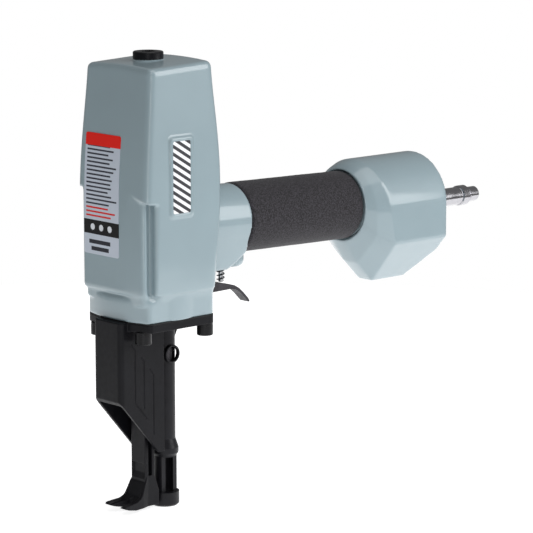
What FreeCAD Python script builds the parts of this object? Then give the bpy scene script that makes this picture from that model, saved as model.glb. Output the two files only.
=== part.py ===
"""Pneumatic nail remover with a pry claw, built as separate named pieces.

Millimetres. The origin is the centre of the guide tube's open end. +Z runs up the tube to the head,
+X runs back along the handle to the air plug, and the tool is symmetric about the plane Y = 0.
"""

import FreeCAD
import Part
import math
import os

from FreeCAD import Placement, Rotation, Vector

# ---- Driving dimensions ---------------------------------------------------------------------------

RUN = 0.1            # radial clearance of a part that slides or turns
FIT = 0.05           # radial clearance of a fixed part in its seat

# Head and lower body of the housing
BODY_X = -11.0       # axis of cylinder, piston and head valve
ROOF_Z = 275.8        # middle of the roof's front edge
ROOF_RISE = 2.6      # slope of the roof up to the rear, in degrees
ROOF_CROWN_R = 330.0
SHOULDER_Z = 206.0   # widest section of the head
PANEL_Z = 139.0      # lower end of the head's straight sides
WAIST_Z = 134.0      # foot of the bevel under the sides
BASE_Z = 122.0       # joint face with the nose
HEAD_TOP_Z = 281.0   # where the head's sloping sides end before the roof is cut
FRONT_TOP_X = -35.2
FRONT_LOW_X = -41.2
# Sections of the head from the top down: height, front face, rear face, half width
HEAD_SECTIONS = ((HEAD_TOP_Z, FRONT_TOP_X, 14.6, 30.5), (240.0, -38.0, 17.8, 32.2),
                 (SHOULDER_Z, -40.5, 20.0, 33.0), (172.0, -41.1, 18.8, 32.8),
                 (PANEL_Z, FRONT_LOW_X, 16.2, 32.3))
HEAD_CORNER_R = 5.0
ROOF_EDGE_R = 3.6
COLUMN_HALF = 28.4   # half width of the narrow front column below the shoulder
COLUMN_CORNER_R = 3.6
LABEL_LOW_Y = -7.4   # the label spans more of the +Y side
LABEL_HIGH_Y = 25.2
LABEL_THICK = 0.25
PANEL_FRONT_X = -33.2
PANEL_EDGE_R = 2.8
GROOVE_FLOOR = 26.2   # the valley between column and panel goes in to here
FLANGE_FRONT_X = -41.2
FLANGE_REAR_X = 17.4
FLANGE_HALF = 28.8
FLANGE_NOSE_R = 80.0
BULGE_R = 30.4
BADGE_X = -13.6      # middle of the side badges
BADGE_Z = 209.5
BADGE_FACE = 34.0    # outer face of their raised frames

# Handle: its axis drops towards the rear
HANDLE_TILT = 1.3
HANDLE_Z = 174.95    # height of the handle axis where it would cross X = 0
NECK_R = 21.6
TUBE_R = 17.5
AIR_R = 13.5
GRIP_R = 22.2
GRIP_START = 54.0
GRIP_END = 150.5
HANDLE_RING_R = 21.0
HANDLE_RING_START = 152.0
HANDLE_RING_END = 164.0

# Rear cap
CAP_REAR_X = 216.0
CAP_AXIS_Z = 168.5
CAP_R = 31.8
CAP_SIDE_Z = 147.5   # foot of the flat sides
CAP_FOOT_Z = 119.5
CAP_FOOT_HALF = 6.0
CAP_WALL = 3.4
CAP_MOUTH_X = 149.0
CAP_MOUTH_R = 23.3
INLET_Z = 166.0
INLET_BOSS_R = 9.0
CAP_SCREW_PCR = 17.3

# Nose
PLATE_T = 5.0
GASKET_T = 0.5
PLATE_TOP = BASE_Z - GASKET_T
PLATE_BOTTOM = PLATE_TOP - PLATE_T
BLOCK_FRONT_X = -45.3
BLOCK_REAR_X = -11.0
BLOCK_HALF = 13.0
BLOCK_WALL = 2.3
NOSE_BOLTS = ((-34.0, 21.0), (-34.0, -21.0), (12.2, 24.2), (12.2, -24.2))
M6_R = 3.0

# Guide tube and claw
TUBE_BORE_R = 5.2
MOUTH_R = 5.8        # bore of the end collar, which goes over the nail's point
TUBE_UPPER_R = 6.7
TUBE_LOWER_R = 7.4
COLLAR_R = 8.9
COLLAR_TOP = 8.7
CONE_BOTTOM = 31.0
CONE_TOP = 42.3
WINDOW_Y = -4.2
PORT_Z = 96.0
STEM_HALF = 6.5
CLAW_HALF = 9.6

# Moving parts
STROKE = 77.0
SLEEVE_R = 20.0
SLEEVE_BORE_R = 17.5
SLEEVE_BOTTOM = 125.0
SLEEVE_TOP = 244.0
PISTON_BOTTOM = 222.0
PISTON_TOP = 238.0
DRIVER_R = TUBE_BORE_R - RUN
DRIVER_TIP = 77.5
TRIGGER_X = 46.5     # axis of the trigger valve
PIVOT = Vector(24.0, 0.0, 131.0)
LEVER_HALF = 3.8
PIN_HALF = 8.2


# ---- Helpers ---------------------------------------------------------------------------------------

def box(x0, x1, y0, y1, z0, z1):
    return Part.makeBox(x1 - x0, y1 - y0, z1 - z0, Vector(x0, y0, z0))


def rod_x(radius, x0, x1, y=0.0, z=0.0):
    return Part.makeCylinder(radius, x1 - x0, Vector(x0, y, z), Vector(1, 0, 0))


def rod_y(radius, y0, y1, x, z):
    return Part.makeCylinder(radius, y1 - y0, Vector(x, y0, z), Vector(0, 1, 0))


def rod_z(radius, z0, z1, x=0.0, y=0.0):
    return Part.makeCylinder(radius, z1 - z0, Vector(x, y, z0), Vector(0, 0, 1))


def ring_z(outer, inner, z0, z1, x=0.0, y=0.0):
    return rod_z(outer, z0, z1, x, y).cut(rod_z(inner, z0 - 1, z1 + 1, x, y))


def ring_x(outer, inner, x0, x1, z=0.0):
    return rod_x(outer, x0, x1, z=z).cut(rod_x(inner, x0 - 1, x1 + 1, z=z))


def o_ring_z(major, minor, z, x):
    return Part.makeTorus(major, minor, Vector(x, 0, z), Vector(0, 0, 1))


def slab_y(points, y0, y1):
    """Extrude an outline of (x, z) points from y0 to y1."""
    corners = [Vector(x, y0, z) for x, z in points]
    face = Part.Face(Part.makePolygon(corners + corners[:1]))
    return face.extrude(Vector(0, y1 - y0, 0))


def hex_prism(across_flats, base, direction, length):
    """A hexagonal prism from base along direction, with two flats square to Y."""
    radius = across_flats / math.sqrt(3)
    turn = Rotation(Vector(0, 0, 1), direction)
    corners = [base + turn.multVec(Vector(radius * math.cos(math.radians(60 * k)),
                                          radius * math.sin(math.radians(60 * k)), 0))
               for k in range(7)]
    return Part.Face(Part.makePolygon(corners)).extrude(direction * length)


def rounded_rectangle(x0, x1, half, radius, z):
    """A closed wire of four sides and four corner arcs, symmetric about Y = 0."""
    edges = []
    centres = ((x1 - radius, half - radius, 0), (x0 + radius, half - radius, 90),
               (x0 + radius, radius - half, 180), (x1 - radius, radius - half, 270))
    last = None
    first = None
    for cx, cy, start in centres:
        arc_points = [Vector(cx + radius * math.cos(math.radians(start + turn)),
                             cy + radius * math.sin(math.radians(start + turn)), z)
                      for turn in (0, 45, 90)]
        if last is not None:
            edges.append(Part.LineSegment(last, arc_points[0]).toShape())
        else:
            first = arc_points[0]
        edges.append(Part.Arc(*arc_points).toShape())
        last = arc_points[2]
    edges.append(Part.LineSegment(last, first).toShape())
    return Part.Wire(edges)


def helix_spring(radius, wire_r, z0, z1, turns, x):
    """A coil spring standing on z0, its coils' centre line at the given radius."""
    length = z1 - z0 - 2 * wire_r
    path = Part.makeHelix(length / turns, length, radius)
    profile = Part.Wire(Part.makeCircle(wire_r, Vector(radius, 0, 0), Vector(0, 1, 0)))
    coil = path.makePipeShell([profile], True, True)
    coil.translate(Vector(x, 0, z0 + wire_r))
    return coil


def fillet_where(shape, radius, chosen):
    edges = [edge for edge in shape.Edges if chosen(edge.CenterOfMass, edge)]
    return shape.makeFillet(radius, edges)


def on_handle(shape):
    """Move a shape made about the X axis onto the tilted handle axis."""
    placed = shape.copy()
    placed.Placement = Placement(Vector(0, 0, HANDLE_Z), Rotation(Vector(0, 1, 0), HANDLE_TILT))
    return placed


def handle_axis_z(x):
    return HANDLE_Z - x * math.tan(math.radians(HANDLE_TILT))


def mirrored(shape):
    return shape.mirror(Vector(0, 0, 0), Vector(0, 1, 0))


def both_sides(shape):
    return [shape, mirrored(shape)]


def save(node, *solids):
    shape = solids[0] if len(solids) == 1 else Part.makeCompound(list(solids))
    shape.exportStep(f"parts/{node}.step")


# ---- Housing ---------------------------------------------------------------------------------------

def head_block():
    wires = [rounded_rectangle(front, rear, half, HEAD_CORNER_R, z)
             for z, front, rear, half in reversed(HEAD_SECTIONS)]
    head = Part.makeLoft(wires, True, False)
    crown = rod_x(ROOF_CROWN_R, -100, 100)
    crown.rotate(Vector(0, 0, 0), Vector(1, 0, 0), 90)      # its seam away from the roof
    crown.rotate(Vector(0, 0, 0), Vector(0, -1, 0), ROOF_RISE)
    crown.translate(Vector(FRONT_TOP_X, 0, ROOF_Z - ROOF_CROWN_R / math.cos(math.radians(ROOF_RISE))))
    head = head.common(crown)
    return fillet_where(head, ROOF_EDGE_R, lambda c, e: c.z > ROOF_Z - 3)


def corner_cut(fall_start, fall, step_drop):
    """What is taken off the head's +Y front corner below the shoulder.

    The column's front falls back by the given amount from fall_start to its rounded corner,
    a valley parts the column from the side panel, and the panel's front edge is rounded. The
    step above them slants down by step_drop towards the corner.
    """
    low, high = PANEL_Z - 1, SHOULDER_Z + 1
    front = FRONT_LOW_X - 0.4
    turn = FRONT_LOW_X + fall
    radius = COLUMN_CORNER_R
    side = HEAD_SECTIONS[3][3] + 0.1
    edge = PANEL_EDGE_R
    short = 1 - math.sqrt(0.5)

    def point(x, y):
        return Vector(x, y, low)

    column_front = point(turn, COLUMN_HALF - radius)
    column_side = point(turn + radius, COLUMN_HALF)
    panel_front = point(PANEL_FRONT_X, side - edge)
    panel_side = point(PANEL_FRONT_X + edge, side)
    spans = (
        (column_front, point(turn + short * radius, COLUMN_HALF - short * radius), column_side),
        (column_side, point((column_side.x + PANEL_FRONT_X) / 2, GROOVE_FLOOR), panel_front),
        (panel_front, point(PANEL_FRONT_X + short * edge, side - short * edge), panel_side))
    curves = [Part.Arc(*span).toShape() for span in spans]
    corners = [panel_side, point(panel_side.x, 40), point(-50, 40), point(-50, fall_start),
               point(front, fall_start), column_front]
    lines = [Part.LineSegment(a, b).toShape() for a, b in zip(corners, corners[1:])]
    tool = Part.Face(Part.Wire(curves + lines)).extrude(Vector(0, 0, high - low))
    slant = ((0.0, SHOULDER_Z + 0.8), (36.0, SHOULDER_Z - step_drop), (41.0, 240.0), (0.0, 240.0))
    outline = [Vector(-60, y, z) for y, z in slant]
    roof = Part.Face(Part.makePolygon(outline + outline[:1])).extrude(Vector(60, 0, 0))
    return tool.cut(roof)


def flange():
    """The bolting flange, with the cylinder wall bulging out between its bolt bosses."""
    outline = rounded_rectangle(FLANGE_FRONT_X, FLANGE_REAR_X, FLANGE_HALF, 5.0, BASE_Z)
    block = Part.Face(outline).extrude(Vector(0, 0, WAIST_Z - BASE_Z + 2))
    nose = rod_z(FLANGE_NOSE_R, BASE_Z - 1, WAIST_Z + 3, FLANGE_FRONT_X + FLANGE_NOSE_R)
    block = block.common(nose)
    block = fillet_where(block, 4.0, lambda c, e: c.x < -32 and abs(c.y) > 20
                         and abs(e.BoundBox.ZLength) > 10 and e.BoundBox.YLength < 0.1)
    bulge = rod_z(BULGE_R, BASE_Z, WAIST_Z + 2, BODY_X)
    return block.fuse(bulge.common(box(-30, 8, -40, 40, BASE_Z, WAIST_Z + 2)))


def waist_bevel():
    """The slopes from the head's column and side panels in to the flange."""
    rear, half = HEAD_SECTIONS[-1][2:]
    column = Part.makeLoft([
        rounded_rectangle(FLANGE_FRONT_X + 2.0, 8.0, FLANGE_HALF - 1.0, 4.0, WAIST_Z - 1),
        rounded_rectangle(FRONT_LOW_X + 1.6, 8.0, COLUMN_HALF - 0.8, 4.0, PANEL_Z + 0.5)], True, True)
    panels = Part.makeLoft([
        rounded_rectangle(PANEL_FRONT_X + 6.0, FLANGE_REAR_X - 1.0, FLANGE_HALF - 0.5, 3.0, WAIST_Z - 1),
        rounded_rectangle(PANEL_FRONT_X + 1.0, rear - 0.6, half - 0.6, HEAD_CORNER_R - 0.6, PANEL_Z + 0.5)],
        True, True)
    return column.fuse(panels)


def neck():
    """The round neck behind the head and the keel under it that holds the trigger valve."""
    barrel = on_handle(rod_x(NECK_R, 6, GRIP_START))
    side = slab_y(((4, 143.5), (42.5, 143.5), (47.5, 146.5), (GRIP_START, 152.5), (GRIP_START, 176),
                   (4, 176)), -40, 40)
    section = [Vector(0, y, z) for y, z in ((-11.5, 142), (11.5, 142), (NECK_R - 0.4, 170),
                                            (NECK_R - 0.4, 178), (0.4 - NECK_R, 178), (0.4 - NECK_R, 170))]
    keel = Part.Face(Part.makePolygon(section + section[:1])).extrude(Vector(60, 0, 0)).common(side)
    keel = fillet_where(keel, 3.0, lambda c, e: c.z < 153 and abs(c.y) > 5 and c.x > 15)
    boss = rod_z(8.4, 143.2, 160.0, 54.5)
    boss = fillet_where(boss, 4.0, lambda c, e: c.z < 144)
    grip_seat = on_handle(rod_x(GRIP_R + 0.3, GRIP_START, GRIP_START + 20))
    return barrel.fuse(keel).fuse(boss).cut(grip_seat)


def pivot_lugs():
    outline = ((10, 139), (10, 124), (22, 126), (28.5, 128.5), (28.5, 134), (22, 140))
    lugs = []
    for lug in both_sides(slab_y(outline, LEVER_HALF + 0.5, LEVER_HALF + 3.5)):
        lugs.append(fillet_where(lug, 2.5, lambda c, e: c.x > 27 and e.BoundBox.YLength > 2))
    return lugs


def handle_tube():
    tube = rod_x(TUBE_R, GRIP_START - 14, HANDLE_RING_START)
    ring = rod_x(HANDLE_RING_R, HANDLE_RING_START, HANDLE_RING_END)
    return on_handle(tube.fuse(ring))


def badge_frame():
    """The raised frame round the badge on the +Y side."""
    frame = box(BADGE_X - 8.9, BADGE_X + 8.9, BADGE_FACE - 3, BADGE_FACE,
                BADGE_Z - 23.9, BADGE_Z + 23.9)
    return fillet_where(frame, 2.0, lambda c, e: e.BoundBox.YLength > 2)


def badge_pocket():
    pocket = box(BADGE_X - 6.9, BADGE_X + 6.9, BADGE_FACE - 1.3, BADGE_FACE + 1,
                 BADGE_Z - 21.9, BADGE_Z + 21.9)
    return fillet_where(pocket, 1.2, lambda c, e: e.BoundBox.YLength > 2)


def housing_bores():
    """Everything hollow inside the casting."""
    main = rounded_rectangle(-32.5, 11.0, 26.0, 8.0, 164.0)
    top = rounded_rectangle(-29.5, 9.6, 25.0, 8.0, 246.0)
    chamber = Part.makeLoft([main, top], True, True)
    bores = [
        chamber,
        rod_z(19.0, 245, 268, BODY_X),                                  # head valve bore
        rod_z(SLEEVE_R + 1.0, 160, 246, BODY_X),                        # room round the sleeve
        rod_z(SLEEVE_R + FIT, 127, 165, BODY_X),                        # land that holds the sleeve
        rod_z(22.0, 128, 156, BODY_X),                                  # return air chamber
        rod_z(21.9, BASE_Z - 1, 125.1, BODY_X),                         # seat of the sleeve's flange
        rod_z(SLEEVE_R + FIT, 125, 128, BODY_X),
        rod_z(7.0 + FIT, 267, 280, BODY_X),                             # top plug thread
        on_handle(rod_x(AIR_R, 8, HANDLE_RING_END + 1)),                # air passage of the handle
        rod_z(6.0 + FIT, 140, 172, TRIGGER_X),                          # trigger valve bore
    ]
    bores += [rod_z(M6_R, BASE_Z - 1, 137, x, y) for x, y in NOSE_BOLTS]
    bores.append(rod_y(1.5 + FIT, -20, 20, PIVOT.x, PIVOT.z))
    for y, z in cap_screw_points():
        bores.append(on_handle(rod_x(2.5, HANDLE_RING_START + 2, HANDLE_RING_END + 1, y, z)))
    return bores


def cap_screw_points():
    """The four cap screws' places about the handle axis, as (y, z)."""
    return [(CAP_SCREW_PCR * math.cos(math.radians(a)), CAP_SCREW_PCR * math.sin(math.radians(a)))
            for a in (45, 135, 225, 315)]


def housing():
    body = head_block()
    body = body.cut([corner_cut(LABEL_HIGH_Y + 0.2, 0.2, 8.0), mirrored(corner_cut(5.0, 1.0, 13.0))])
    plug_boss = rod_z(9.25, ROOF_Z - 3, 277.6, BODY_X)
    body = body.fuse([waist_bevel(), flange(), plug_boss, neck(), handle_tube()] + pivot_lugs())
    for frame, pocket in zip(both_sides(badge_frame()), both_sides(badge_pocket())):
        body = body.fuse(frame).cut(pocket)
    return body.cut(housing_bores()).removeSplitter()


# ---- Rear cap --------------------------------------------------------------------------------------

def outline_wire(spans):
    """A closed wire of (start, middle, end) spans, straight where the middle lies on the chord."""
    edges = []
    for start, middle, end in spans:
        straight = ((start + end) * 0.5 - middle).Length < 0.001
        edges.append((Part.LineSegment(start, end) if straight else Part.Arc(start, middle, end)).toShape())
    return Part.Wire(edges)


def cap_spans(x_of_z, inset=0.0):
    """The cap's D outline, each point's X given by its height."""
    radius = CAP_R - inset
    half = CAP_FOOT_HALF - 0.4 * inset

    def point(y, z):
        return Vector(x_of_z(z), y, z)

    arc = [point(radius * math.cos(math.radians(a)), CAP_AXIS_Z + radius * math.sin(math.radians(a)))
           for a in (0, 45, 90, 135, 180)]
    corners = [arc[4], point(-radius, CAP_SIDE_Z + 0.4 * inset), point(-half, CAP_FOOT_Z + inset),
               point(half, CAP_FOOT_Z + inset), point(radius, CAP_SIDE_Z + 0.4 * inset), arc[0]]
    lines = [(start, (start + end) * 0.5, end) for start, end in zip(corners, corners[1:])]
    return [tuple(arc[0:3]), tuple(arc[2:5])] + lines


def mouth_spans(x, radius, z):
    """A circle split where the cap outline's corners should run to."""
    angles = (0, 90, 180, 205, 255, 285, 335, 360)
    spans = []
    for start, end in zip(angles, angles[1:]):
        turns = [math.radians(a) for a in (start, (start + end) / 2, end)]
        spans.append(tuple(Vector(x, radius * math.cos(t), z + radius * math.sin(t)) for t in turns))
    return spans


def spans_between(inner, outer, along, out):
    """Spans part of the way from inner to outer: along in X, out in Y and Z."""
    def part_way(a, b):
        return Vector(a.x + along * (b.x - a.x), a.y + out * (b.y - a.y), a.z + out * (b.z - a.z))
    return [tuple(part_way(a, b) for a, b in zip(*pair)) for pair in zip(inner, outer)]


def rim_x(z):
    """X of the cap's front rim, whose plane leans back towards the foot."""
    return 160.5 + 0.155 * (CAP_AXIS_Z + CAP_R - z)


def cap_outside():
    mouth = mouth_spans(CAP_MOUTH_X, CAP_MOUTH_R, handle_axis_z(CAP_MOUTH_X))
    rim = cap_spans(rim_x)
    swell = spans_between(mouth, rim, 0.40, 0.52)
    cone = Part.makeLoft([outline_wire(spans) for spans in (mouth, swell, rim)], True, True)
    band = Part.makeLoft([outline_wire(rim), outline_wire(cap_spans(lambda z: CAP_REAR_X))], True, True)
    shell = cone.fuse(band).removeSplitter()
    slant = slab_y(((202, CAP_FOOT_Z - 2), (202.0, CAP_FOOT_Z), (CAP_REAR_X, 137.0), (225, 148.0),
                    (225, CAP_FOOT_Z - 2)), -40, 40)
    return shell.cut(slant)


def rear_cap():
    shell = cap_outside()
    inner = Part.makeLoft([outline_wire(cap_spans(lambda z: 174.0, CAP_WALL)),
                           outline_wire(cap_spans(lambda z: CAP_REAR_X - CAP_WALL, CAP_WALL))], True, True)
    inner = inner.cut(slab_y(((192, CAP_FOOT_Z), (198.0, CAP_FOOT_Z), (CAP_REAR_X, 142.0),
                              (CAP_REAR_X, CAP_FOOT_Z)), -40, 40))
    pillars = [on_handle(rod_x(5.2, 166, 214, y, z)) for y, z in cap_screw_points()]
    boss = rod_x(INLET_BOSS_R, CAP_REAR_X - 12, 224, z=INLET_Z)
    shell = shell.cut(inner.cut(pillars)).fuse(boss)
    tools = [
        on_handle(rod_x(GRIP_R + 0.3, CAP_MOUTH_X - 4, GRIP_END + 1.2)),
        on_handle(rod_x(HANDLE_RING_R + FIT, GRIP_END, HANDLE_RING_END + 0.6)),
        on_handle(rod_x(AIR_R, HANDLE_RING_END, 176)),
        rod_x(6.5 + FIT, CAP_REAR_X - 6, 225, z=INLET_Z),
        rod_x(5.5, CAP_REAR_X - 13, 225, z=INLET_Z),
    ]
    for y, z in cap_screw_points():
        tools.append(on_handle(rod_x(2.6, 160, 220, y, z)))
        tools.append(on_handle(rod_x(4.5, 211.0, 222, y, z)))
    return shell.cut(tools).removeSplitter()


# ---- Nose ------------------------------------------------------------------------------------------

def plate_outline(z, thickness):
    outline = rounded_rectangle(FLANGE_FRONT_X + 0.4, FLANGE_REAR_X - 0.2, FLANGE_HALF + 0.6, 5.0, z)
    block = Part.Face(outline).extrude(Vector(0, 0, thickness))
    nose = rod_z(FLANGE_NOSE_R, z - 1, z + thickness + 1, FLANGE_FRONT_X + 0.4 + FLANGE_NOSE_R)
    block = block.common(nose)
    return fillet_where(block, 3.5, lambda c, e: c.x < -32 and abs(c.y) > 20
                        and e.BoundBox.ZLength > 0.4 and e.BoundBox.YLength < 0.1)


SIDE_GROOVES = (
    ((-36.7, 108.0), (-34.0, 104.1), (-34.0, 71.3), (-24.7, 60.1)),
    ((-29.1, 99.1), (-27.0, 96.6), (-27.0, 67.1)),
    ((-22.7, 91.0), (-19.6, 86.8), (-19.6, 49.7)),
)


def groove_cutter(points, y0, y1):
    """A groove 1 mm wide along an (x, z) polyline."""
    pieces = []
    for (xa, za), (xb, zb) in zip(points, points[1:]):
        length = math.hypot(xb - xa, zb - za)
        run = box(0, length, y0, y1, -0.5, 0.5)
        angle = math.degrees(math.atan2(zb - za, xb - xa))
        run.Placement = Placement(Vector(xa, 0, za), Rotation(Vector(0, -1, 0), angle))
        pieces.append(run)
    pieces += [rod_y(0.5, y0, y1, x, z) for x, z in points]
    return pieces[0].fuse(pieces[1:])


def nose_block():
    outline = ((BLOCK_FRONT_X, PLATE_TOP), (BLOCK_FRONT_X, 72.5), (-15.5, 37.7), (BLOCK_REAR_X, 37.7),
               (BLOCK_REAR_X, PLATE_TOP))
    block = slab_y(outline, -BLOCK_HALF, BLOCK_HALF)
    block = fillet_where(block, 3.2, lambda c, e: c.x < BLOCK_FRONT_X + 0.01 and e.BoundBox.ZLength > 20)
    for side in (1, -1):
        faces = (BLOCK_HALF - 0.55, BLOCK_HALF + 1) if side > 0 else (-BLOCK_HALF - 1, 0.55 - BLOCK_HALF)
        for points in SIDE_GROOVES:
            block = block.cut(groove_cutter(points, *faces))
    hollow = box(BLOCK_FRONT_X + BLOCK_WALL, BLOCK_REAR_X - BLOCK_WALL, BLOCK_WALL - BLOCK_HALF,
                 BLOCK_HALF - BLOCK_WALL, 20, 112)
    hollow = fillet_where(hollow, 1.5, lambda c, e: e.BoundBox.ZLength > 20)
    return block.cut(hollow)


def nose_casting():
    plate = plate_outline(PLATE_BOTTOM, PLATE_T)
    web = box(BLOCK_REAR_X - 1, -4, -5.2, 5.2, CONE_TOP + 0.5, PLATE_BOTTOM + 1)
    boss = rod_z(8.4, 112.6, PLATE_BOTTOM + 1).fuse(
        Part.makeCone(7.2, 8.4, 1.6, Vector(0, 0, 111.0), Vector(0, 0, 1)))
    gusset = slab_y(((5.0, PLATE_BOTTOM + 1), (13.0, PLATE_BOTTOM + 1), (13.0, PLATE_BOTTOM),
                     (7.2, 104.0), (5.0, 104.0)), -1.5, 1.5)
    casting = plate.fuse([nose_block(), web, boss, gusset])
    tools = [rod_z(TUBE_UPPER_R + FIT, CONE_TOP, PLATE_TOP + 1)]
    tools += [rod_z(M6_R + 0.3, PLATE_BOTTOM - 1, PLATE_TOP + 1, x, y) for x, y in NOSE_BOLTS]
    tools.append(rod_y(5.65 + FIT, -12, -4, 0, PORT_Z))
    return casting.cut(tools).removeSplitter()


def flange_gasket():
    gasket = plate_outline(PLATE_TOP, GASKET_T)
    holes = [rod_z(M6_R + 0.5, PLATE_TOP - 1, BASE_Z + 1, x, y) for x, y in NOSE_BOLTS]
    return gasket.cut(holes + [rod_z(SLEEVE_BORE_R + 0.3, PLATE_TOP - 1, BASE_Z + 1, BODY_X)])


def guide_tube():
    """The barrel the driver runs in, with its end collar, cone collar and side window."""
    profile = ((TUBE_BORE_R, COLLAR_TOP), (MOUTH_R, COLLAR_TOP), (MOUTH_R, 0), (COLLAR_R - 1.2, 0),
               (COLLAR_R, 1.2), (COLLAR_R, COLLAR_TOP), (TUBE_LOWER_R, COLLAR_TOP),
               (TUBE_LOWER_R, CONE_BOTTOM + 0.6), (COLLAR_R - 0.3, 33.4),
               (COLLAR_R - 0.3, 36.6), (TUBE_UPPER_R, CONE_TOP),
               (TUBE_UPPER_R, PLATE_TOP), (TUBE_BORE_R, PLATE_TOP))
    corners = [Vector(x, 0, z) for x, z in profile]
    tube = Part.Face(Part.makePolygon(corners + corners[:1])).revolve(Vector(0, 0, 0), Vector(0, 0, 1), 360)
    window = box(-12, 12, -12, WINDOW_Y, COLLAR_TOP, CONE_BOTTOM)
    port = rod_y(4.55, -12, 0, 0, PORT_Z)
    seat = rod_y(5.65 + FIT, -12, -5.9, 0, PORT_Z)
    return tube.cut([window, port, seat])


def side_port_bush():
    bush = rod_y(5.65, -8.4, -5.95, 0, PORT_Z).cut(rod_y(4.55, -10, -4, 0, PORT_Z))
    return fillet_where(bush, 0.4, lambda c, e: c.y < -8.3)


def nail_claw():
    """A forked claw on an I-section stem that reaches up inside the nose block."""
    stem = box(-21.4, -18.6, -STEM_HALF, STEM_HALF, 3.0, 111.8)
    rear = box(-15.8, -13.8, -STEM_HALF, STEM_HALF, 3.0, 111.8)
    web = box(-18.8, -15.6, -3.0, 3.0, 3.0, 111.8)
    side = slab_y(((-19.5, 22.0), (-22.0, 17.6), (-24.3, 12.2), (-26.2, 9.2), (-29.4, 7.6), (-39.6, 6.5),
                   (-40.0, 5.2), (-37.0, 4.1), (-30.2, 2.7), (-10.2, 2.9), (-10.2, 12.0),
                   (-13.8, 22.0)), -CLAW_HALF, CLAW_HALF)
    flare = [Vector(x, y, 0) for x, y in ((-42, 10.2), (-36, CLAW_HALF), (-24, 8.2), (-19, STEM_HALF),
                                          (-9, STEM_HALF), (-9, -STEM_HALF), (-19, -STEM_HALF),
                                          (-24, -8.2), (-36, -CLAW_HALF), (-42, -10.2))]
    side = side.common(Part.Face(Part.makePolygon(flare + flare[:1])).extrude(Vector(0, 0, 30)))
    notch = [Vector(x, y, 0) for x, y in ((-45, 5.0), (-41, 4.6), (-27, 1.6), (-25.6, 0), (-27, -1.6),
                                          (-41, -4.6), (-45, -5.0))]
    notch = Part.Face(Part.makePolygon(notch + notch[:1])).extrude(Vector(0, 0, 40))
    scoop = slab_y(((-20.2, 24.0), (-22.4, 17.0), (-25.2, 9.8), (-28.9, 6.5), (-45, 5.0), (-45, 30),
                    (-20.2, 30)), -6.2, 6.2)
    tube_side = rod_z(COLLAR_R + 0.3, 0, COLLAR_TOP + 0.3).fuse(rod_z(TUBE_LOWER_R + 0.3, 0, 33))
    claw = stem.fuse([rear, web, side]).cut([notch, scoop, tube_side])
    tip_slope = slab_y(((-24, -1), (-30.2, 2.7), (-42, 4.9), (-42, -1)), -20, 20)
    return claw.cut(tip_slope).removeSplitter()


def socket_bolt(x, y, z, up, shank_r, head_r, head_h, length, socket):
    """A socket-head bolt with its head's seat at z; up is +1 if the shank points to +Z."""
    axis = Vector(0, 0, up)
    base = Vector(x, y, z)
    bolt = Part.makeCylinder(shank_r, length, base, axis)
    head = Part.makeCylinder(head_r, head_h, base, -axis)
    head = head.makeChamfer(0.4, [e for e in head.Edges if abs(e.CenterOfMass.z - z) > head_h - 0.1])
    recess = hex_prism(socket, base - axis * head_h, axis, head_h * 0.6)
    return bolt.fuse(head).cut(recess)


def nose_bolts():
    seat = PLATE_BOTTOM - 1.6
    return [socket_bolt(x, y, seat, 1, M6_R - FIT, 5.0, 6.0, 21.0, 5.0) for x, y in NOSE_BOLTS]


def spring_washers():
    washers = []
    for x, y in NOSE_BOLTS:
        washer = ring_z(4.9, M6_R + 0.15, PLATE_BOTTOM - 1.6, PLATE_BOTTOM, x, y)
        slit = box(x + 1, x + 7, y - 0.4, y + 0.4, PLATE_BOTTOM - 3, PLATE_BOTTOM + 1)
        washers.append(washer.cut(slit))
    return washers


# ---- Driving parts ---------------------------------------------------------------------------------

def cylinder_sleeve():
    sleeve = ring_z(SLEEVE_R, SLEEVE_BORE_R, SLEEVE_BOTTOM - 1, SLEEVE_TOP, BODY_X)
    sleeve = sleeve.fuse(ring_z(21.8, SLEEVE_BORE_R, BASE_Z + 0.05, SLEEVE_BOTTOM, BODY_X))
    grooves = [ring_z(22, SLEEVE_R - 1.5, z - 1.1, z + 1.1, BODY_X) for z in (158.0, 162.0)]
    ports = [Part.makeCylinder(1.5, 50, Vector(BODY_X, 0, 150) - turn * 25, turn)
             for turn in (Vector(1, 0, 0), Vector(0, 1, 0))]
    return sleeve.cut(grooves + ports)


def sleeve_seals():
    return [o_ring_z(SLEEVE_R - 0.75, 0.74, z, BODY_X) for z in (158.0, 162.0)]


def bumper():
    ring = rod_z(SLEEVE_BORE_R - 0.3, BASE_Z + 0.1, PISTON_BOTTOM - STROKE - 0.5, BODY_X)
    ring = fillet_where(ring, 1.5, lambda c, e: c.z > 140)
    return ring.cut(rod_z(DRIVER_R + 0.9, 120, 160))


def piston():
    body = rod_z(SLEEVE_BORE_R - RUN, PISTON_BOTTOM, PISTON_TOP, BODY_X)
    groove = ring_z(20, SLEEVE_BORE_R - 2.2, 228.8, 231.6, BODY_X)
    dish = rod_z(6.0, 232.0, 240.0, BODY_X - 7.0)
    return body.cut([groove, dish, rod_z(3.0 + FIT, 220, 240)])


def piston_ring():
    return ring_z(SLEEVE_BORE_R - FIT, SLEEVE_BORE_R - 2.1, 228.9, 231.5, BODY_X)


def driver_pin():
    pin = rod_z(DRIVER_R, DRIVER_TIP, PISTON_BOTTOM)
    pin = pin.makeChamfer(0.6, [e for e in pin.Edges if e.CenterOfMass.z < DRIVER_TIP + 0.1])
    return pin.fuse(rod_z(3.0, PISTON_BOTTOM - 1, 242.6))


def driver_nut():
    nut = hex_prism(9.0, Vector(0, 0, PISTON_TOP), Vector(0, 0, 1), 4.0)
    return nut.cut(rod_z(3.0 + FIT, 230, 250))


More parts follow.
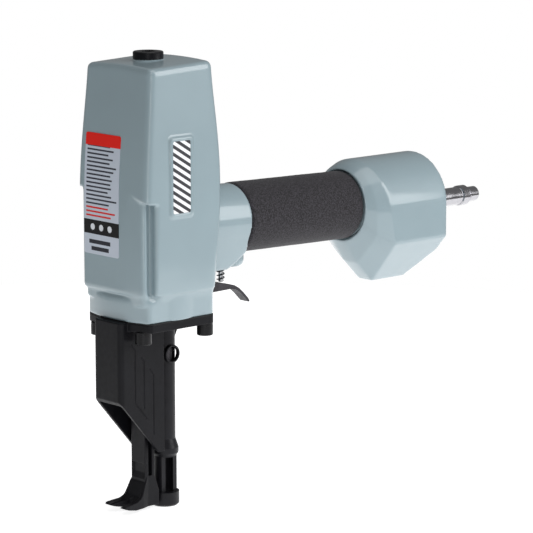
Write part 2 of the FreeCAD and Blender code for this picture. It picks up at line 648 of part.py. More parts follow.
def head_valve():
    disc = rod_z(19.0 - RUN, 247.0, 256.0, BODY_X)
    groove = ring_z(20.5, 17.3, 250.2, 252.4, BODY_X)
    return disc.cut([groove, rod_z(8.4, 253.0, 257.0, BODY_X)])


def top_plug():
    """The round plug on the roof, with a hexagon socket and a spring pilot below its thread."""
    knob = rod_z(9.25, 278.0, 282.0, BODY_X)
    knob = knob.makeChamfer(0.5, [e for e in knob.Edges if e.CenterOfMass.z > 281.9])
    plug = knob.fuse([rod_z(7.0, 266.5, 278.5, BODY_X), rod_z(4.4, 260.5, 267, BODY_X)])
    recess = hex_prism(8.0, Vector(BODY_X, 0, 277.0), Vector(0, 0, 1), 6.0)
    return plug.cut(recess)


# ---- Trigger ---------------------------------------------------------------------------------------

def trigger_lever():
    """A bent steel lever with two cheeks at its pivot and a curled finger tongue."""
    outline = ((20.0, 127.8), (36.0, 129.0), (51.0, 129.3), (55.4, 128.6), (58.4, 127.0), (61.1, 124.7),
               (64.8, 121.0), (66.6, 119.2), (67.6, 119.6), (66.2, 121.9), (62.4, 125.8), (58.7, 129.1),
               (54.6, 131.4), (49.6, 132.6), (44.6, 133.9), (36.5, 134.9), (20.0, 134.6))
    lever = slab_y(outline, -LEVER_HALF, LEVER_HALF)
    lever = fillet_where(lever, 2.2, lambda c, e: c.x < 20.1 and e.BoundBox.YLength > 5)
    lever = fillet_where(lever, 0.5, lambda c, e: c.x > 66 and e.BoundBox.YLength > 5)
    channel = slab_y(((15.0, 120.0), (15.0, 133.0), (36.5, 133.3), (44.6, 132.3), (49.6, 131.0),
                      (51.0, 120.0)), 1.5 - LEVER_HALF, LEVER_HALF - 1.5)
    return lever.cut([channel, rod_y(1.5 + RUN, -20, 20, PIVOT.x, PIVOT.z)])


def trigger_valve_body():
    body = rod_z(6.0, 143.6, 166.0, TRIGGER_X)
    grooves = [ring_z(8, 5.0, z - 0.9, z + 0.9, TRIGGER_X) for z in (148.0, 156.0)]
    chamber = rod_z(3.7, 150.0, 170.0, TRIGGER_X)
    return body.cut(grooves + [chamber, rod_z(1.55, 138, 151, TRIGGER_X)])


def valve_seals():
    return [o_ring_z(5.45, 0.44, z, TRIGGER_X) for z in (148.0, 156.0)]


def valve_stem():
    stem = rod_z(1.47, 134.1, 152.0, TRIGGER_X)
    stem = stem.fuse(rod_z(3.6, 151.5, 155.0, TRIGGER_X))
    return stem.makeFillet(0.5, [e for e in stem.Edges if e.CenterOfMass.z < 135.0])


def valve_cap():
    return rod_z(6.0, 166.0, 168.5, TRIGGER_X).fuse(rod_z(3.6, 164.0, 166.5, TRIGGER_X)).cut(
        rod_z(1.2, 160, 170, TRIGGER_X))


def pivot_pin():
    pin = rod_y(1.5, -PIN_HALF, PIN_HALF, PIVOT.x, PIVOT.z)
    return pin.makeChamfer(0.3, [e for e in pin.Edges if abs(e.CenterOfMass.y) > PIN_HALF - 0.1])


# ---- Grip, inlet and labels ------------------------------------------------------------------------

def grip_sleeve():
    sleeve = ring_x(GRIP_R, TUBE_R + 0.2, GRIP_START, GRIP_END)
    return on_handle(fillet_where(sleeve, 1.4, lambda c, e: e.BoundBox.ZLength > 2 * GRIP_R - 0.1
                                  and (abs(c.x - GRIP_START) < 0.1 or abs(c.x - GRIP_END) < 0.1)))


def cap_seal():
    return on_handle(ring_x(14.7, AIR_R + 0.1, HANDLE_RING_END + 0.02, HANDLE_RING_END + 0.58))


def cap_screws():
    screws = []
    for y, z in cap_screw_points():
        shank = rod_x(2.45, 156.0, 212.0, y, z)
        head = rod_x(4.25, 211.05, 216.0, y, z)
        recess = hex_prism(4.0, Vector(213.2, y, z), Vector(1, 0, 0), 4.0)
        screws.append(on_handle(shank.fuse(head).cut(recess)))
    return screws


def hose_adapter():
    hexagon = hex_prism(17.0, Vector(224.0, 0, INLET_Z), Vector(1, 0, 0), 9.0)
    thread = rod_x(6.5, 212.0, 225.0, z=INLET_Z)
    return hexagon.fuse(thread).cut([rod_x(4.0, 200, 226, z=INLET_Z),
                                     rod_x(5.0 + FIT, 225.0, 234, z=INLET_Z)])


def air_plug():
    """The quick-connect plug: hexagon, barrel, ring, lock groove and tip, with its air hole."""
    profile = ((2.6, 226.0), (5.0, 226.0), (5.0, 233.1), (7.2, 233.1), (7.2, 240.2), (5.95, 240.8),
               (5.95, 258.6), (6.7, 259.0), (6.7, 264.6), (6.2, 265.0), (4.1, 265.4), (4.1, 267.2),
               (4.9, 267.8), (4.9, 274.6), (4.2, 275.5), (2.6, 275.5))
    corners = [Vector(x, r, 0) for r, x in profile]
    plug = Part.Face(Part.makePolygon(corners + corners[:1])).revolve(Vector(0, 0, 0), Vector(1, 0, 0), 360)
    plug.translate(Vector(0, 0, INLET_Z))
    hexagon = hex_prism(14.0, Vector(233.1, 0, INLET_Z), Vector(1, 0, 0), 7.1)
    return plug.fuse(hexagon.cut(rod_x(4.0, 230, 245, z=INLET_Z)))


def inlet_filter():
    return rod_x(6.3, 210.3, 211.8, z=INLET_Z)


def front_label():
    """The blank label stuck on the head's front, which it follows."""
    head = head_block()
    film = head.copy()
    film.translate(Vector(-LABEL_THICK, 0, 0))
    label = film.common(box(-50, 0, LABEL_LOW_Y, LABEL_HIGH_Y, 160.0, 233.5)).cut(head)
    return fillet_where(label, 1.5, lambda c, e: e.Length < 2 * LABEL_THICK)


def side_badge():
    badge = box(BADGE_X - 6.7, BADGE_X + 6.7, BADGE_FACE - 1.3, BADGE_FACE - 0.4,
                BADGE_Z - 21.7, BADGE_Z + 21.7)
    return fillet_where(badge, 1.0, lambda c, e: abs(e.BoundBox.YLength - 0.9) < 0.01)


# ---- Every node ------------------------------------------------------------------------------------

def build():
    os.makedirs("parts", exist_ok=True)
    save("housing", housing())
    save("top_plug", top_plug())
    save("top_plug_seal", ring_z(9.2, 7.3, 277.6, 278.0, BODY_X))
    save("cylinder_sleeve", cylinder_sleeve())
    save("sleeve_seals", *sleeve_seals())
    save("bumper", bumper())
    save("flange_gasket", flange_gasket())
    save("nose_casting", nose_casting())
    save("guide_tube", guide_tube())
    save("side_port_bush", side_port_bush())
    save("nail_claw", nail_claw())
    save("nose_bolts", *nose_bolts())
    save("nose_spring_washers", *spring_washers())
    save("grip_sleeve", grip_sleeve())
    save("rear_cap", rear_cap())
    save("cap_seal", cap_seal())
    save("cap_screws", *cap_screws())
    save("hose_adapter", hose_adapter())
    save("air_plug", air_plug())
    save("inlet_filter", inlet_filter())
    save("trigger_valve_body", trigger_valve_body())
    save("trigger_valve_seals", *valve_seals())
    save("trigger_valve_cap", valve_cap())
    save("trigger_pivot_pin", pivot_pin())
    save("front_label", front_label())
    save("side_badges", *both_sides(side_badge()))
    save("piston", piston())
    save("piston_ring", piston_ring())
    save("driver_pin", driver_pin())
    save("driver_nut", driver_nut())
    save("head_valve", head_valve())
    save("head_valve_seal", rod_z(18.6, 244.05, 247.0, BODY_X))
    save("head_valve_ring", ring_z(18.95, 17.4, 250.3, 252.3, BODY_X))
    save("head_valve_spring", helix_spring(6.0, 0.7, 253.1, 266.4, 3.5, BODY_X))
    save("trigger_lever", trigger_lever())
    save("valve_stem", valve_stem())
    save("trigger_spring", helix_spring(2.15, 0.4, 134.3, 143.5, 3.5, TRIGGER_X))
    save("valve_stem_spring", helix_spring(2.6, 0.35, 155.1, 163.9, 4.0, TRIGGER_X))


build()
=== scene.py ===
"""The looks of a pneumatic nail remover: materials, softened castings, foam grip, light and camera.

Everything is in metres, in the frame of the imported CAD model.
"""

import math

import bmesh
import bpy
from mathutils import Euler, Matrix, Vector, noise


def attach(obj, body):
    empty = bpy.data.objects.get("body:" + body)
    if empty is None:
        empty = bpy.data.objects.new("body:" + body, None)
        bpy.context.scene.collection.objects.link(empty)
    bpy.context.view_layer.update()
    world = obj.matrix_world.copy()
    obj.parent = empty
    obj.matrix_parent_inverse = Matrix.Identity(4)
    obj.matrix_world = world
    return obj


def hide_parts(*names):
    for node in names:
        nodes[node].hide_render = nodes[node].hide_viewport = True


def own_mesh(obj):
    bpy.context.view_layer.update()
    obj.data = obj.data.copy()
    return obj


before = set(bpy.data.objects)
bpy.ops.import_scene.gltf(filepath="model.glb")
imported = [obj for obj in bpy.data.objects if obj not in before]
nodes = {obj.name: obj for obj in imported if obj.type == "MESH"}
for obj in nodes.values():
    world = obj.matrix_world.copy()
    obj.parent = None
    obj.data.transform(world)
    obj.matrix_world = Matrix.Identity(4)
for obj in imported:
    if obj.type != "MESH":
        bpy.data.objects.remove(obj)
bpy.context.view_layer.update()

MM = 0.001

# Camera: where it looks from and at
CAMERA_AZIMUTH = -42.5
CAMERA_ELEVATION = 10.26
CAMERA_TARGET = Vector((0.0853, 0.0, 0.1389))
CAMERA_DISTANCE = 1.7797
CAMERA_LENS = 190.4

# Light
AMBIENT = 0.2
FLOOR_R = 0.75
FLOOR_GLOW = 0.8
BACKDROP = 1.0       # what the camera sees past the floor

# Front label, in millimetres: edges across it, and the bands, rules and dots up it
LABEL_LOW_Y = -7.4
LABEL_HIGH_Y = 25.2
RED_BAND = (226.0, 234.0)
BLACK_BAND = (172.3, 181.0)
RULES_LOW = 183.0
RED_RULES_TOP = 190.5
RULE_PITCH = 2.5
RULE_SHARE = 0.42    # how much of the pitch a rule covers
RULE_CUT = 9.0       # the most that a rule is cut short by
LABEL_MARGIN = 2.0
DOT_PLACES = (1.0, 9.0, 17.0)
DOT_R = 2.0
# Two heavy bars below the black band: foot, head, start and end
HEAVY_BARS = ((166.4, 168.9, 0.5, 20.5), (162.2, 164.7, 2.0, 18.5))

# Side badges, in millimetres: their middle and the bars on them
BADGE_X = -13.6
BADGE_Z = 209.5
BADGE_BAR_HALF = 3.4
BADGE_COLUMN_HALF = 16.5
BADGE_PITCH = 4.6
BADGE_SHARE = 0.5    # how much of the pitch a bar covers
BADGE_SLANT = 0.6

# Foam grip, in millimetres: the tilted handle axis and the sleeve about it
HANDLE_TILT = 1.3
HANDLE_Z = 174.95
GRIP_START = 54.1
GRIP_END = 150.4
GRIP_R = 22.1
GRIP_BORE_R = 17.7
GRIP_EDGE_R = 2.6
GRIP_SIDES = 160
GRIP_RINGS = 120
EDGE_STEPS = 6
FOAM_SWELL = 0.25    # depth of the unevenness of the foam's skin
FOAM_LAYERS = ((9.0, 0.6), (1.4, 0.4))   # its grain and the share of the depth

# Softened castings, in millimetres
SMOOTHING = 0.5      # how far one round moves a point towards its neighbours
BROAD_ROUNDS = 12    # extra rounds on the head's plain outside
HEAD_REAR_X = 22.0
HEAD_FRONT_X = -34.0
HEAD_FOOT_Z = 124.0
HEAD_SIDE_Y = 27.0
BADGE_CLEAR = (10.5, 25.5)   # half width and half height left sharp about a badge


# ---- Materials -------------------------------------------------------------------------------------

def screen(red, green, blue):
    """A linear RGBA colour for a colour as a screen shows it, 0 to 255."""
    def linear(value):
        share = value / 255
        return share / 12.92 if share <= 0.04045 else ((share + 0.055) / 1.055) ** 2.4
    return (linear(red), linear(green), linear(blue), 1.0)


class Finish:
    """A procedural material whose patterns follow the row frame."""

    def __init__(self, name, colour, roughness, metallic=0.0, **sockets):
        self.material = bpy.data.materials.new(name)
        self.material.use_nodes = True
        self.tree = self.material.node_tree
        self.shader = self.tree.nodes["Principled BSDF"]
        self.shader.inputs["Base Color"].default_value = colour
        self.shader.inputs["Roughness"].default_value = roughness
        self.shader.inputs["Metallic"].default_value = metallic
        for socket, value in sockets.items():
            self.shader.inputs[socket.replace("_", " ")].default_value = value
        self.place = self.add("ShaderNodeTexCoord").outputs["Object"]

    def add(self, kind, **settings):
        node = self.tree.nodes.new(kind)
        for key, value in settings.items():
            setattr(node, key, value)
        return node

    def link(self, source, target):
        self.tree.links.new(source, target)

    def noise(self, grain, detail=3.0, stretch=(1, 1, 1)):
        """Noise whose grain is a size in millimetres."""
        mapping = self.add("ShaderNodeMapping")
        mapping.inputs["Scale"].default_value = stretch
        texture = self.add("ShaderNodeTexNoise")
        texture.inputs["Scale"].default_value = 1 / (grain * MM)
        texture.inputs["Detail"].default_value = detail
        self.link(self.place, mapping.inputs["Vector"])
        self.link(mapping.outputs["Vector"], texture.inputs["Vector"])
        return texture.outputs["Fac"]

    def cells(self, grain, feature="F1"):
        texture = self.add("ShaderNodeTexVoronoi", feature=feature)
        texture.inputs["Scale"].default_value = 1 / (grain * MM)
        self.link(self.place, texture.inputs["Vector"])
        return texture.outputs["Distance"]

    def ramp(self, source, low, high, first, last):
        """first below low, last above high, blended between."""
        ramp = self.add("ShaderNodeValToRGB")
        ramp.color_ramp.elements[0].position = low
        ramp.color_ramp.elements[1].position = high
        ramp.color_ramp.elements[0].color = first
        ramp.color_ramp.elements[1].color = last
        self.link(source, ramp.inputs["Fac"])
        return ramp.outputs["Color"]

    def colour_from(self, source, low, high, first, last):
        self.link(self.ramp(source, low, high, first, last), self.shader.inputs["Base Color"])

    def roughness_from(self, source, low, high):
        """Roughness from low to high as the pattern goes from dark to light."""
        spread = self.add("ShaderNodeMapRange")
        spread.inputs["From Min"].default_value = 0.3
        spread.inputs["From Max"].default_value = 0.7
        spread.inputs["To Min"].default_value = low
        spread.inputs["To Max"].default_value = high
        self.link(source, spread.inputs["Value"])
        self.link(spread.outputs["Result"], self.shader.inputs["Roughness"])

    def axis(self, name):
        """One coordinate of the row frame, in metres."""
        split = self.add("ShaderNodeSeparateXYZ")
        self.link(self.place, split.inputs["Vector"])
        return split.outputs[name]

    def math(self, operation, first, second=0.0):
        node = self.add("ShaderNodeMath", operation=operation)
        for value, socket in ((first, node.inputs[0]), (second, node.inputs[1])):
            if isinstance(value, (int, float)):
                socket.default_value = value
            else:
                self.link(value, socket)
        return node.outputs["Value"]

    def minus(self, source, millimetres):
        return self.math("SUBTRACT", source, millimetres * MM)

    def within(self, source, low, high):
        """1 where the source lies between low and high, 0 elsewhere."""
        return self.math("MULTIPLY", self.math("GREATER_THAN", source, low),
                         self.math("LESS_THAN", source, high))

    def stripes(self, source, pitch, share):
        """1 over the first share of every pitch, in millimetres, 0 over the rest."""
        turns = self.math("DIVIDE", source, pitch * MM)
        return self.math("LESS_THAN", self.math("FRACT", turns), share)

    def mix_onto(self, base, layers):
        """The base colour with layers of (mask, colour) laid over it in turn."""
        colour = None
        for mask, layer in layers:
            mix = self.add("ShaderNodeMix", data_type="RGBA")
            self.link(mask, mix.inputs["Factor"])
            colours = [socket for socket in mix.inputs if socket.type == "RGBA"]
            colours[0].default_value = base
            colours[1].default_value = layer
            if colour is not None:
                self.link(colour, colours[0])
            colour = [socket for socket in mix.outputs if socket.type == "RGBA"][0]
        self.link(colour, self.shader.inputs["Base Color"])

    def bump_from(self, *layers):
        """Bumps in layers of (pattern, height in millimetres)."""
        below = None
        for pattern, height in layers:
            bump = self.add("ShaderNodeBump")
            bump.inputs["Distance"].default_value = height * MM
            self.link(pattern, bump.inputs["Height"])
            if below is not None:
                self.link(below, bump.inputs["Normal"])
            below = bump.outputs["Normal"]
        self.link(below, self.shader.inputs["Normal"])


def shade(colour, factor):
    return tuple(c * factor for c in colour[:3]) + (1.0,)


def paint():
    base = screen(142, 160, 167)
    finish = Finish("grey_blue_enamel", base, 0.34, Coat_Weight=0.8, Coat_Roughness=0.07,
                    Specular_IOR_Level=0.4)
    finish.colour_from(finish.noise(38, 2.0), 0.3, 0.7, shade(base, 0.975), shade(base, 1.025))
    finish.roughness_from(finish.noise(9, 3.0), 0.30, 0.40)
    finish.bump_from((finish.noise(2.4, 2.0), 0.010), (finish.noise(0.5, 2.0), 0.002))
    return finish.material


def cast_black():
    base = screen(16, 16, 20)
    finish = Finish("satin_black_coating", base, 0.38, Specular_IOR_Level=0.16)
    finish.colour_from(finish.noise(14, 3.0), 0.3, 0.7, shade(base, 0.86), shade(base, 1.16))
    finish.roughness_from(finish.noise(3, 4.0), 0.38, 0.52)
    finish.bump_from((finish.noise(1.6, 3.0), 0.018), (finish.noise(0.35, 2.0), 0.006))
    return finish.material


def steel_black():
    base = screen(22, 22, 26)
    finish = Finish("black_oxide_steel", base, 0.32, metallic=0.12, Specular_IOR_Level=0.22)
    finish.colour_from(finish.noise(9, 4.0), 0.3, 0.7, shade(base, 0.8), shade(base, 1.25))
    finish.roughness_from(finish.noise(2.2, 4.0), 0.30, 0.46)
    finish.bump_from((finish.noise(0.9, 3.0), 0.010),)
    return finish.material


def bolt_black():
    base = screen(20, 20, 22)
    finish = Finish("black_bolt_steel", base, 0.32, metallic=0.2, Specular_IOR_Level=0.26)
    finish.colour_from(finish.noise(3, 4.0), 0.3, 0.7, shade(base, 0.75), shade(base, 1.35))
    finish.roughness_from(finish.noise(1.2, 3.0), 0.26, 0.42)
    finish.bump_from((finish.noise(0.5, 2.0), 0.006),)
    return finish.material


def foam():
    base = screen(42, 40, 44)
    finish = Finish("black_foam", base, 0.7, Sheen_Weight=0.1, Sheen_Roughness=0.5,
                    Specular_IOR_Level=0.25)
    speckle = finish.noise(0.9, 4.0)
    finish.colour_from(speckle, 0.38, 0.62, shade(base, 0.35), shade(base, 1.8))
    finish.roughness_from(finish.noise(0.9, 3.0), 0.68, 0.9)
    finish.bump_from((finish.cells(0.75), 0.10), (speckle, 0.08))
    return finish.material


def rubber():
    base = screen(28, 28, 29)
    finish = Finish("black_rubber", base, 0.62, Specular_IOR_Level=0.35)
    finish.colour_from(finish.noise(4, 3.0), 0.3, 0.7, shade(base, 0.85), shade(base, 1.2))
    finish.bump_from((finish.noise(0.6, 3.0), 0.01),)
    return finish.material


def plated():
    base = screen(184, 183, 187)
    finish = Finish("bright_nickel_plate", base, 0.16, metallic=1.0)
    finish.colour_from(finish.noise(5, 3.0), 0.3, 0.7, shade(base, 0.92), base)
    finish.roughness_from(finish.noise(1.5, 3.0, (0.2, 1, 1)), 0.10, 0.22)
    finish.bump_from((finish.noise(0.25, 2.0, (8, 1, 1)), 0.0012),)
    return finish.material


def brass():
    base = screen(176, 132, 78)
    finish = Finish("sintered_bronze", base, 0.42, metallic=0.9)
    finish.colour_from(finish.noise(0.6, 3.0), 0.35, 0.65, shade(base, 0.6), base)
    finish.bump_from((finish.cells(0.4), 0.03),)
    return finish.material


def plastic():
    base = screen(34, 34, 36)
    finish = Finish("black_acetal", base, 0.42)
    finish.colour_from(finish.noise(6, 2.0), 0.3, 0.7, shade(base, 0.9), shade(base, 1.1))
    finish.bump_from((finish.noise(0.8, 2.0), 0.004),)
    return finish.material


def ground_steel():
    base = screen(188, 189, 192)
    finish = Finish("ground_steel", base, 0.28, metallic=1.0)
    finish.colour_from(finish.noise(4, 3.0), 0.3, 0.7, shade(base, 0.85), base)
    finish.roughness_from(finish.noise(0.5, 3.0, (1, 1, 0.08)), 0.2, 0.36)
    return finish.material


def lever_steel():
    base = screen(58, 56, 60)
    finish = Finish("grey_phosphated_steel", base, 0.42, metallic=0.3, Specular_IOR_Level=0.3)
    finish.colour_from(finish.noise(5, 4.0), 0.3, 0.7, shade(base, 0.78), shade(base, 1.2))
    finish.roughness_from(finish.noise(1.4, 4.0), 0.34, 0.52)
    finish.bump_from((finish.noise(0.7, 3.0), 0.008),)
    return finish.material


def spring_steel():
    base = screen(66, 66, 70)
    finish = Finish("oiled_spring_steel", base, 0.3, metallic=0.9)
    finish.colour_from(finish.noise(2, 3.0), 0.3, 0.7, shade(base, 0.7), shade(base, 1.3))
    return finish.material


def bare_alloy():
    base = screen(196, 199, 202)
    finish = Finish("machined_alloy", base, 0.3, metallic=1.0)
    finish.colour_from(finish.noise(6, 3.0), 0.3, 0.7, shade(base, 0.88), base)
    finish.bump_from((finish.noise(0.3, 2.0, (1, 1, 6)), 0.002),)
    return finish.material


def white_plate(finish_name):
    base = screen(240, 241, 243)
    finish = Finish(finish_name, base, 0.45, Specular_IOR_Level=0.2)
    return finish, base


def badge():
    """A white plate with a column of plain slanting bars."""
    finish, base = white_plate("white_badge")
    across = finish.minus(finish.axis("X"), BADGE_X)
    up = finish.minus(finish.axis("Z"), BADGE_Z)
    slanted = finish.math("ADD", up, finish.math("MULTIPLY", across, BADGE_SLANT))
    inside = finish.math("MULTIPLY", finish.within(across, -BADGE_BAR_HALF, BADGE_BAR_HALF),
                         finish.within(up, -BADGE_COLUMN_HALF, BADGE_COLUMN_HALF))
    bars = finish.math("MULTIPLY", finish.stripes(slanted, BADGE_PITCH, BADGE_SHARE), inside)
    finish.mix_onto(base, [(bars, screen(62, 62, 66))])
    return finish.material


def label():
    """A film printed in plain bands, with thin rules of uneven length and three dots."""
    finish, base = white_plate("banded_label")
    up, across = finish.axis("Z"), finish.axis("Y")
    row = finish.math("FLOOR", finish.math("DIVIDE", finish.minus(up, RULES_LOW), RULE_PITCH * MM))
    chance = finish.add("ShaderNodeTexWhiteNoise", noise_dimensions="1D")
    finish.link(row, chance.inputs["W"])
    short = finish.math("MULTIPLY", chance.outputs["Value"], RULE_CUT * MM)
    room = finish.minus(finish.math("SUBTRACT", across, short), LABEL_LOW_Y + LABEL_MARGIN)
    from_end = finish.math("GREATER_THAN", room, 0.0)
    before_start = finish.math("LESS_THAN", across, (LABEL_HIGH_Y - LABEL_MARGIN) * MM)
    rules = finish.stripes(finish.minus(up, RULES_LOW), RULE_PITCH, RULE_SHARE)
    for limit in (from_end, before_start, finish.within(up, RULES_LOW * MM, RED_BAND[0] * MM)):
        rules = finish.math("MULTIPLY", rules, limit)
    dots = None
    for place in DOT_PLACES:
        wide = finish.math("POWER", finish.minus(across, place), 2)
        high = finish.math("POWER", finish.minus(up, sum(BLACK_BAND) / 2), 2)
        dot = finish.math("LESS_THAN", finish.math("ADD", wide, high), (DOT_R * MM) ** 2)
        dots = dot if dots is None else finish.math("MAXIMUM", dots, dot)
    red_rules = finish.math("MULTIPLY", rules, finish.within(up, RULES_LOW * MM, RED_RULES_TOP * MM))
    bars = None
    for low, high, start, end in HEAVY_BARS:
        bar = finish.math("MULTIPLY", finish.within(up, low * MM, high * MM),
                          finish.within(across, start * MM, end * MM))
        bars = bar if bars is None else finish.math("MAXIMUM", bars, bar)
    finish.mix_onto(screen(190, 198, 210), [
        (bars, screen(40, 42, 50)),
        (rules, screen(58, 60, 68)),
        (red_rules, screen(205, 44, 40)),
        (finish.within(up, RED_BAND[0] * MM, RED_BAND[1] * MM), screen(226, 34, 24)),
        (finish.within(up, BLACK_BAND[0] * MM, BLACK_BAND[1] * MM), screen(16, 16, 18)),
        (dots, screen(214, 218, 224))])
    return finish.material


FINISHES = {
    "paint": paint, "black_cast": cast_black, "black_steel": steel_black, "black_bolt": bolt_black,
    "foam": foam, "rubber": rubber, "chrome": plated, "bronze": brass, "black_plastic": plastic,
    "bright_steel": ground_steel, "lever_steel": lever_steel, "spring": spring_steel,
    "bare_alloy": bare_alloy, "label": label, "badge": badge,
}
finishes = {slot: make() for slot, make in FINISHES.items()}


NODES_OF_SLOT = {
    "paint": ("housing", "rear_cap"),
    "black_cast": ("nose_casting", "nail_claw"),
    "black_steel": ("guide_tube", "side_port_bush", "top_plug"),
    "black_bolt": ("nose_bolts", "nose_spring_washers", "cap_screws"),
    "foam": ("grip_sleeve",),
    "rubber": ("top_plug_seal", "sleeve_seals", "bumper", "flange_gasket", "cap_seal",
               "trigger_valve_seals", "head_valve_seal", "head_valve_ring", "piston_ring"),
    "chrome": ("hose_adapter", "air_plug"),
    "bronze": ("inlet_filter",),
    "black_plastic": ("head_valve", "trigger_valve_body", "trigger_valve_cap"),
    "bright_steel": ("driver_nut", "valve_stem", "trigger_pivot_pin"),
    "lever_steel": ("trigger_lever", "driver_pin"),
    "spring": ("head_valve_spring", "trigger_spring", "valve_stem_spring"),
    "bare_alloy": ("piston", "cylinder_sleeve"),
    "label": ("front_label",),
    "badge": ("side_badges",),
}


def dress(piece, slot):
    piece.data.materials.clear()
    piece.data.materials.append(finishes[slot])


for slot, members in NODES_OF_SLOT.items():
    for member in members:
        dress(nodes[member], slot)


# ---- Softened castings -----------------------------------------------------------------------------

def linked(name, mesh):
    piece = bpy.data.objects.new(name, mesh)
    bpy.context.scene.collection.objects.link(piece)
    return piece


def stands_for(piece, node, slot):
    """The piece is fixed to the tool and shown in place of the CAD node."""
    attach(piece, "tool")
    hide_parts(node)
    dress(piece, slot)


def modified(piece, kind, **settings):
    """Apply one modifier to the piece."""
    modifier = piece.modifiers.new(kind.lower(), kind)
    for key, value in settings.items():
        setattr(modifier, key, value)
    with bpy.context.temp_override(object=piece, active_object=piece, selected_objects=[piece]):
        bpy.ops.object.modifier_apply(modifier=modifier.name)


def head_skin(spot):
    """Whether a point in millimetres is on the head's plain outside, clear of badges and bores."""
    clear_x, clear_z = BADGE_CLEAR
    by_badge = abs(spot.x - BADGE_X) < clear_x and abs(spot.z - BADGE_Z) < clear_z
    outside = abs(spot.y) > HEAD_SIDE_Y or spot.x < HEAD_FRONT_X
    return spot.x < HEAD_REAR_X and spot.z > HEAD_FOOT_Z and outside and not by_badge


def softened(node, voxel, rounds, triangles, broad=None):
    """A copy of a CAD casting whose edges are rolled off as paint and casting leave them.

    The voxel is in millimetres, and triangles is the most that the copy may have.
    Where broad is true of a point, the edges are rolled off further.
    """
    slot = next(name for name, members in NODES_OF_SLOT.items() if node in members)
    piece = linked(f"{node}_cast", nodes[node].data.copy())
    modified(piece, "REMESH", mode="VOXEL", voxel_size=voxel * MM, adaptivity=0.0)
    modified(piece, "SMOOTH", factor=SMOOTHING, iterations=rounds)
    if broad is not None:
        group = piece.vertex_groups.new(name="broad")
        group.add([v.index for v in piece.data.vertices if broad(v.co / MM)], 1.0, "REPLACE")
        modified(piece, "SMOOTH", factor=SMOOTHING, iterations=BROAD_ROUNDS, vertex_group="broad")
        piece.vertex_groups.clear()
    piece.data.calc_loop_triangles()
    count = len(piece.data.loop_triangles)
    if count > triangles:
        modified(piece, "DECIMATE", ratio=triangles / count)
    piece.data.shade_smooth()
    stands_for(piece, node, slot)


# ---- Foam grip -------------------------------------------------------------------------------------

def grip_profile():
    """(distance along the handle, radius) round the sleeve's wall, in millimetres."""
    end_face = (GRIP_BORE_R + GRIP_R - GRIP_EDGE_R) / 2
    turns = [math.radians(90 * step / EDGE_STEPS) for step in range(EDGE_STEPS + 1)]
    rolled = [(GRIP_EDGE_R * (1 - math.sin(t)), GRIP_R - GRIP_EDGE_R * (1 - math.cos(t))) for t in turns]
    length = GRIP_END - GRIP_START - 2 * GRIP_EDGE_R
    points = [(GRIP_END - GRIP_EDGE_R, GRIP_BORE_R), (GRIP_START + GRIP_EDGE_R, GRIP_BORE_R),
              (GRIP_START, GRIP_BORE_R), (GRIP_START, end_face)]
    points += [(GRIP_START + inward, radius) for inward, radius in reversed(rolled)]
    points += [(GRIP_START + GRIP_EDGE_R + length * step / GRIP_RINGS, GRIP_R)
               for step in range(1, GRIP_RINGS)]
    points += [(GRIP_END - inward, radius) for inward, radius in rolled]
    return points + [(GRIP_END, end_face), (GRIP_END, GRIP_BORE_R)]


def foam_sink(spot, skin):
    """How far a point of the foam lies below its full size; skin is 0 at the bore, 1 outside."""
    return sum(FOAM_SWELL * skin * (0.5 + 0.5 * noise.noise(spot / grain)) * share
               for grain, share in FOAM_LAYERS)


def foam_grip():
    """The foam sleeve, with rolled ends and a slightly uneven skin."""
    build = bmesh.new()
    rings = []
    for along, radius in grip_profile():
        skin = min(1.0, (radius - GRIP_BORE_R) / (GRIP_R - GRIP_BORE_R))
        ring = []
        for side in range(GRIP_SIDES):
            turn = 2 * math.pi * side / GRIP_SIDES
            spot = Vector((along, radius * math.cos(turn), radius * math.sin(turn)))
            left = 1 - foam_sink(spot, skin) / radius
            ring.append(build.verts.new((along, spot.y * left, spot.z * left)))
        rings.append(ring)
    for first, second in zip(rings, rings[1:] + rings[:1]):
        for side in range(GRIP_SIDES):
            after = (side + 1) % GRIP_SIDES
            build.faces.new((first[side], first[after], second[after], second[side]))
    bmesh.ops.recalc_face_normals(build, faces=build.faces)
    mesh = bpy.data.meshes.new("foam_grip")
    build.to_mesh(mesh)
    build.free()
    tilt = Matrix.Rotation(math.radians(HANDLE_TILT), 4, "Y")
    mesh.transform(Matrix.Scale(MM, 4) @ Matrix.Translation((0, 0, HANDLE_Z)) @ tilt)
    mesh.shade_smooth()
    piece = linked("foam_grip", mesh)
    stands_for(piece, "grip_sleeve", "foam")


# ---- Springs ---------------------------------------------------------------------------------------

def working_spring(node):
    """A copy of a CAD spring, fixed to the tool in its CAD shape and shown in place of the CAD node.
    """
    piece = linked(f"{node}_coil", nodes[node].data.copy())
    stands_for(piece, node, "spring")
    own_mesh(piece)


# ---- Pieces that stand for CAD nodes ---------------------------------------------------------------

working_spring("head_valve_spring")
working_spring("trigger_spring")
working_spring("valve_stem_spring")
softened("housing", 0.7, 2, 190000, head_skin)
softened("rear_cap", 0.8, 8, 110000)
softened("nose_casting", 0.36, 1, 190000)
softened("nail_claw", 0.3, 1, 110000)
foam_grip()


# ---- Stage, light and camera -----------------------------------------------------------------------

def floor():
    mesh = bpy.data.meshes.new("floor")
    build = bmesh.new()
    bmesh.ops.create_circle(build, cap_ends=True, segments=96, radius=FLOOR_R)
    build.to_mesh(mesh)
    build.free()
    plate = linked("floor", mesh)
    finish = Finish("pale_floor", screen(238, 239, 240), 0.9, Specular_IOR_Level=0.1)
    finish.shader.inputs["Emission Color"].default_value = (1, 1, 1, 1)
    finish.shader.inputs["Emission Strength"].default_value = FLOOR_GLOW
    plate.data.materials.append(finish.material)


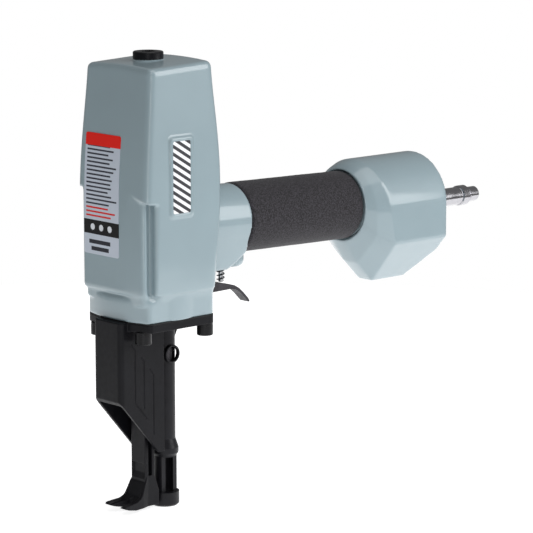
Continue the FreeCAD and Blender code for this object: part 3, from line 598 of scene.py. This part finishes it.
def soft_light(name, azimuth, elevation, distance, width, height, power):
    """An area light facing the object from an azimuth and elevation in degrees."""
    data = bpy.data.lights.new(name, "AREA")
    data.shape = "RECTANGLE"
    data.size = width
    data.size_y = height
    data.energy = power
    lamp = bpy.data.objects.new(name, data)
    lamp.location = CAMERA_TARGET + distance * outward(azimuth, elevation)
    lamp.rotation_euler = (lamp.location - CAMERA_TARGET).to_track_quat("Z", "Y").to_euler()
    bpy.context.scene.collection.objects.link(lamp)


def outward(azimuth, elevation):
    """The direction from the object to a viewer; azimuth 0 looks along +Y."""
    turn, rise = math.radians(azimuth), math.radians(elevation)
    return Vector((math.sin(turn) * math.cos(rise), -math.cos(turn) * math.cos(rise), math.sin(rise)))


def camera():
    data = bpy.data.cameras.new("camera")
    data.lens = CAMERA_LENS
    data.sensor_width = 36.0
    data.clip_end = 100.0
    view = bpy.data.objects.new("camera", data)
    view.location = CAMERA_TARGET + CAMERA_DISTANCE * outward(CAMERA_AZIMUTH, CAMERA_ELEVATION)
    view.rotation_euler = Euler((math.radians(90 - CAMERA_ELEVATION), 0, math.radians(CAMERA_AZIMUTH)))
    bpy.context.scene.collection.objects.link(view)
    bpy.context.scene.camera = view


def surroundings():
    world = bpy.data.worlds.new("studio")
    world.use_nodes = True
    tree = world.node_tree
    backdrop = tree.nodes["Background"]
    ray = tree.nodes.new("ShaderNodeLightPath")
    strength = tree.nodes.new("ShaderNodeMapRange")
    strength.inputs["To Min"].default_value = AMBIENT
    strength.inputs["To Max"].default_value = BACKDROP
    tree.links.new(ray.outputs["Is Camera Ray"], strength.inputs["Value"])
    tree.links.new(strength.outputs["Result"], backdrop.inputs["Strength"])
    backdrop.inputs["Color"].default_value = (1, 1, 1, 1)
    bpy.context.scene.world = world
    bpy.context.scene.view_settings.view_transform = "Standard"


floor()
surroundings()
soft_light("side_softbox", 32, 26, 1.7, 1.0, 1.4, 18)
soft_light("top_softbox", 5, 74, 1.8, 1.4, 1.4, 10)
soft_light("front_strip", -42, 40, 1.9, 0.3, 0.8, 3)
soft_light("edge_strip", -44, 2, 2.6, 0.22, 1.1, 5)
camera()
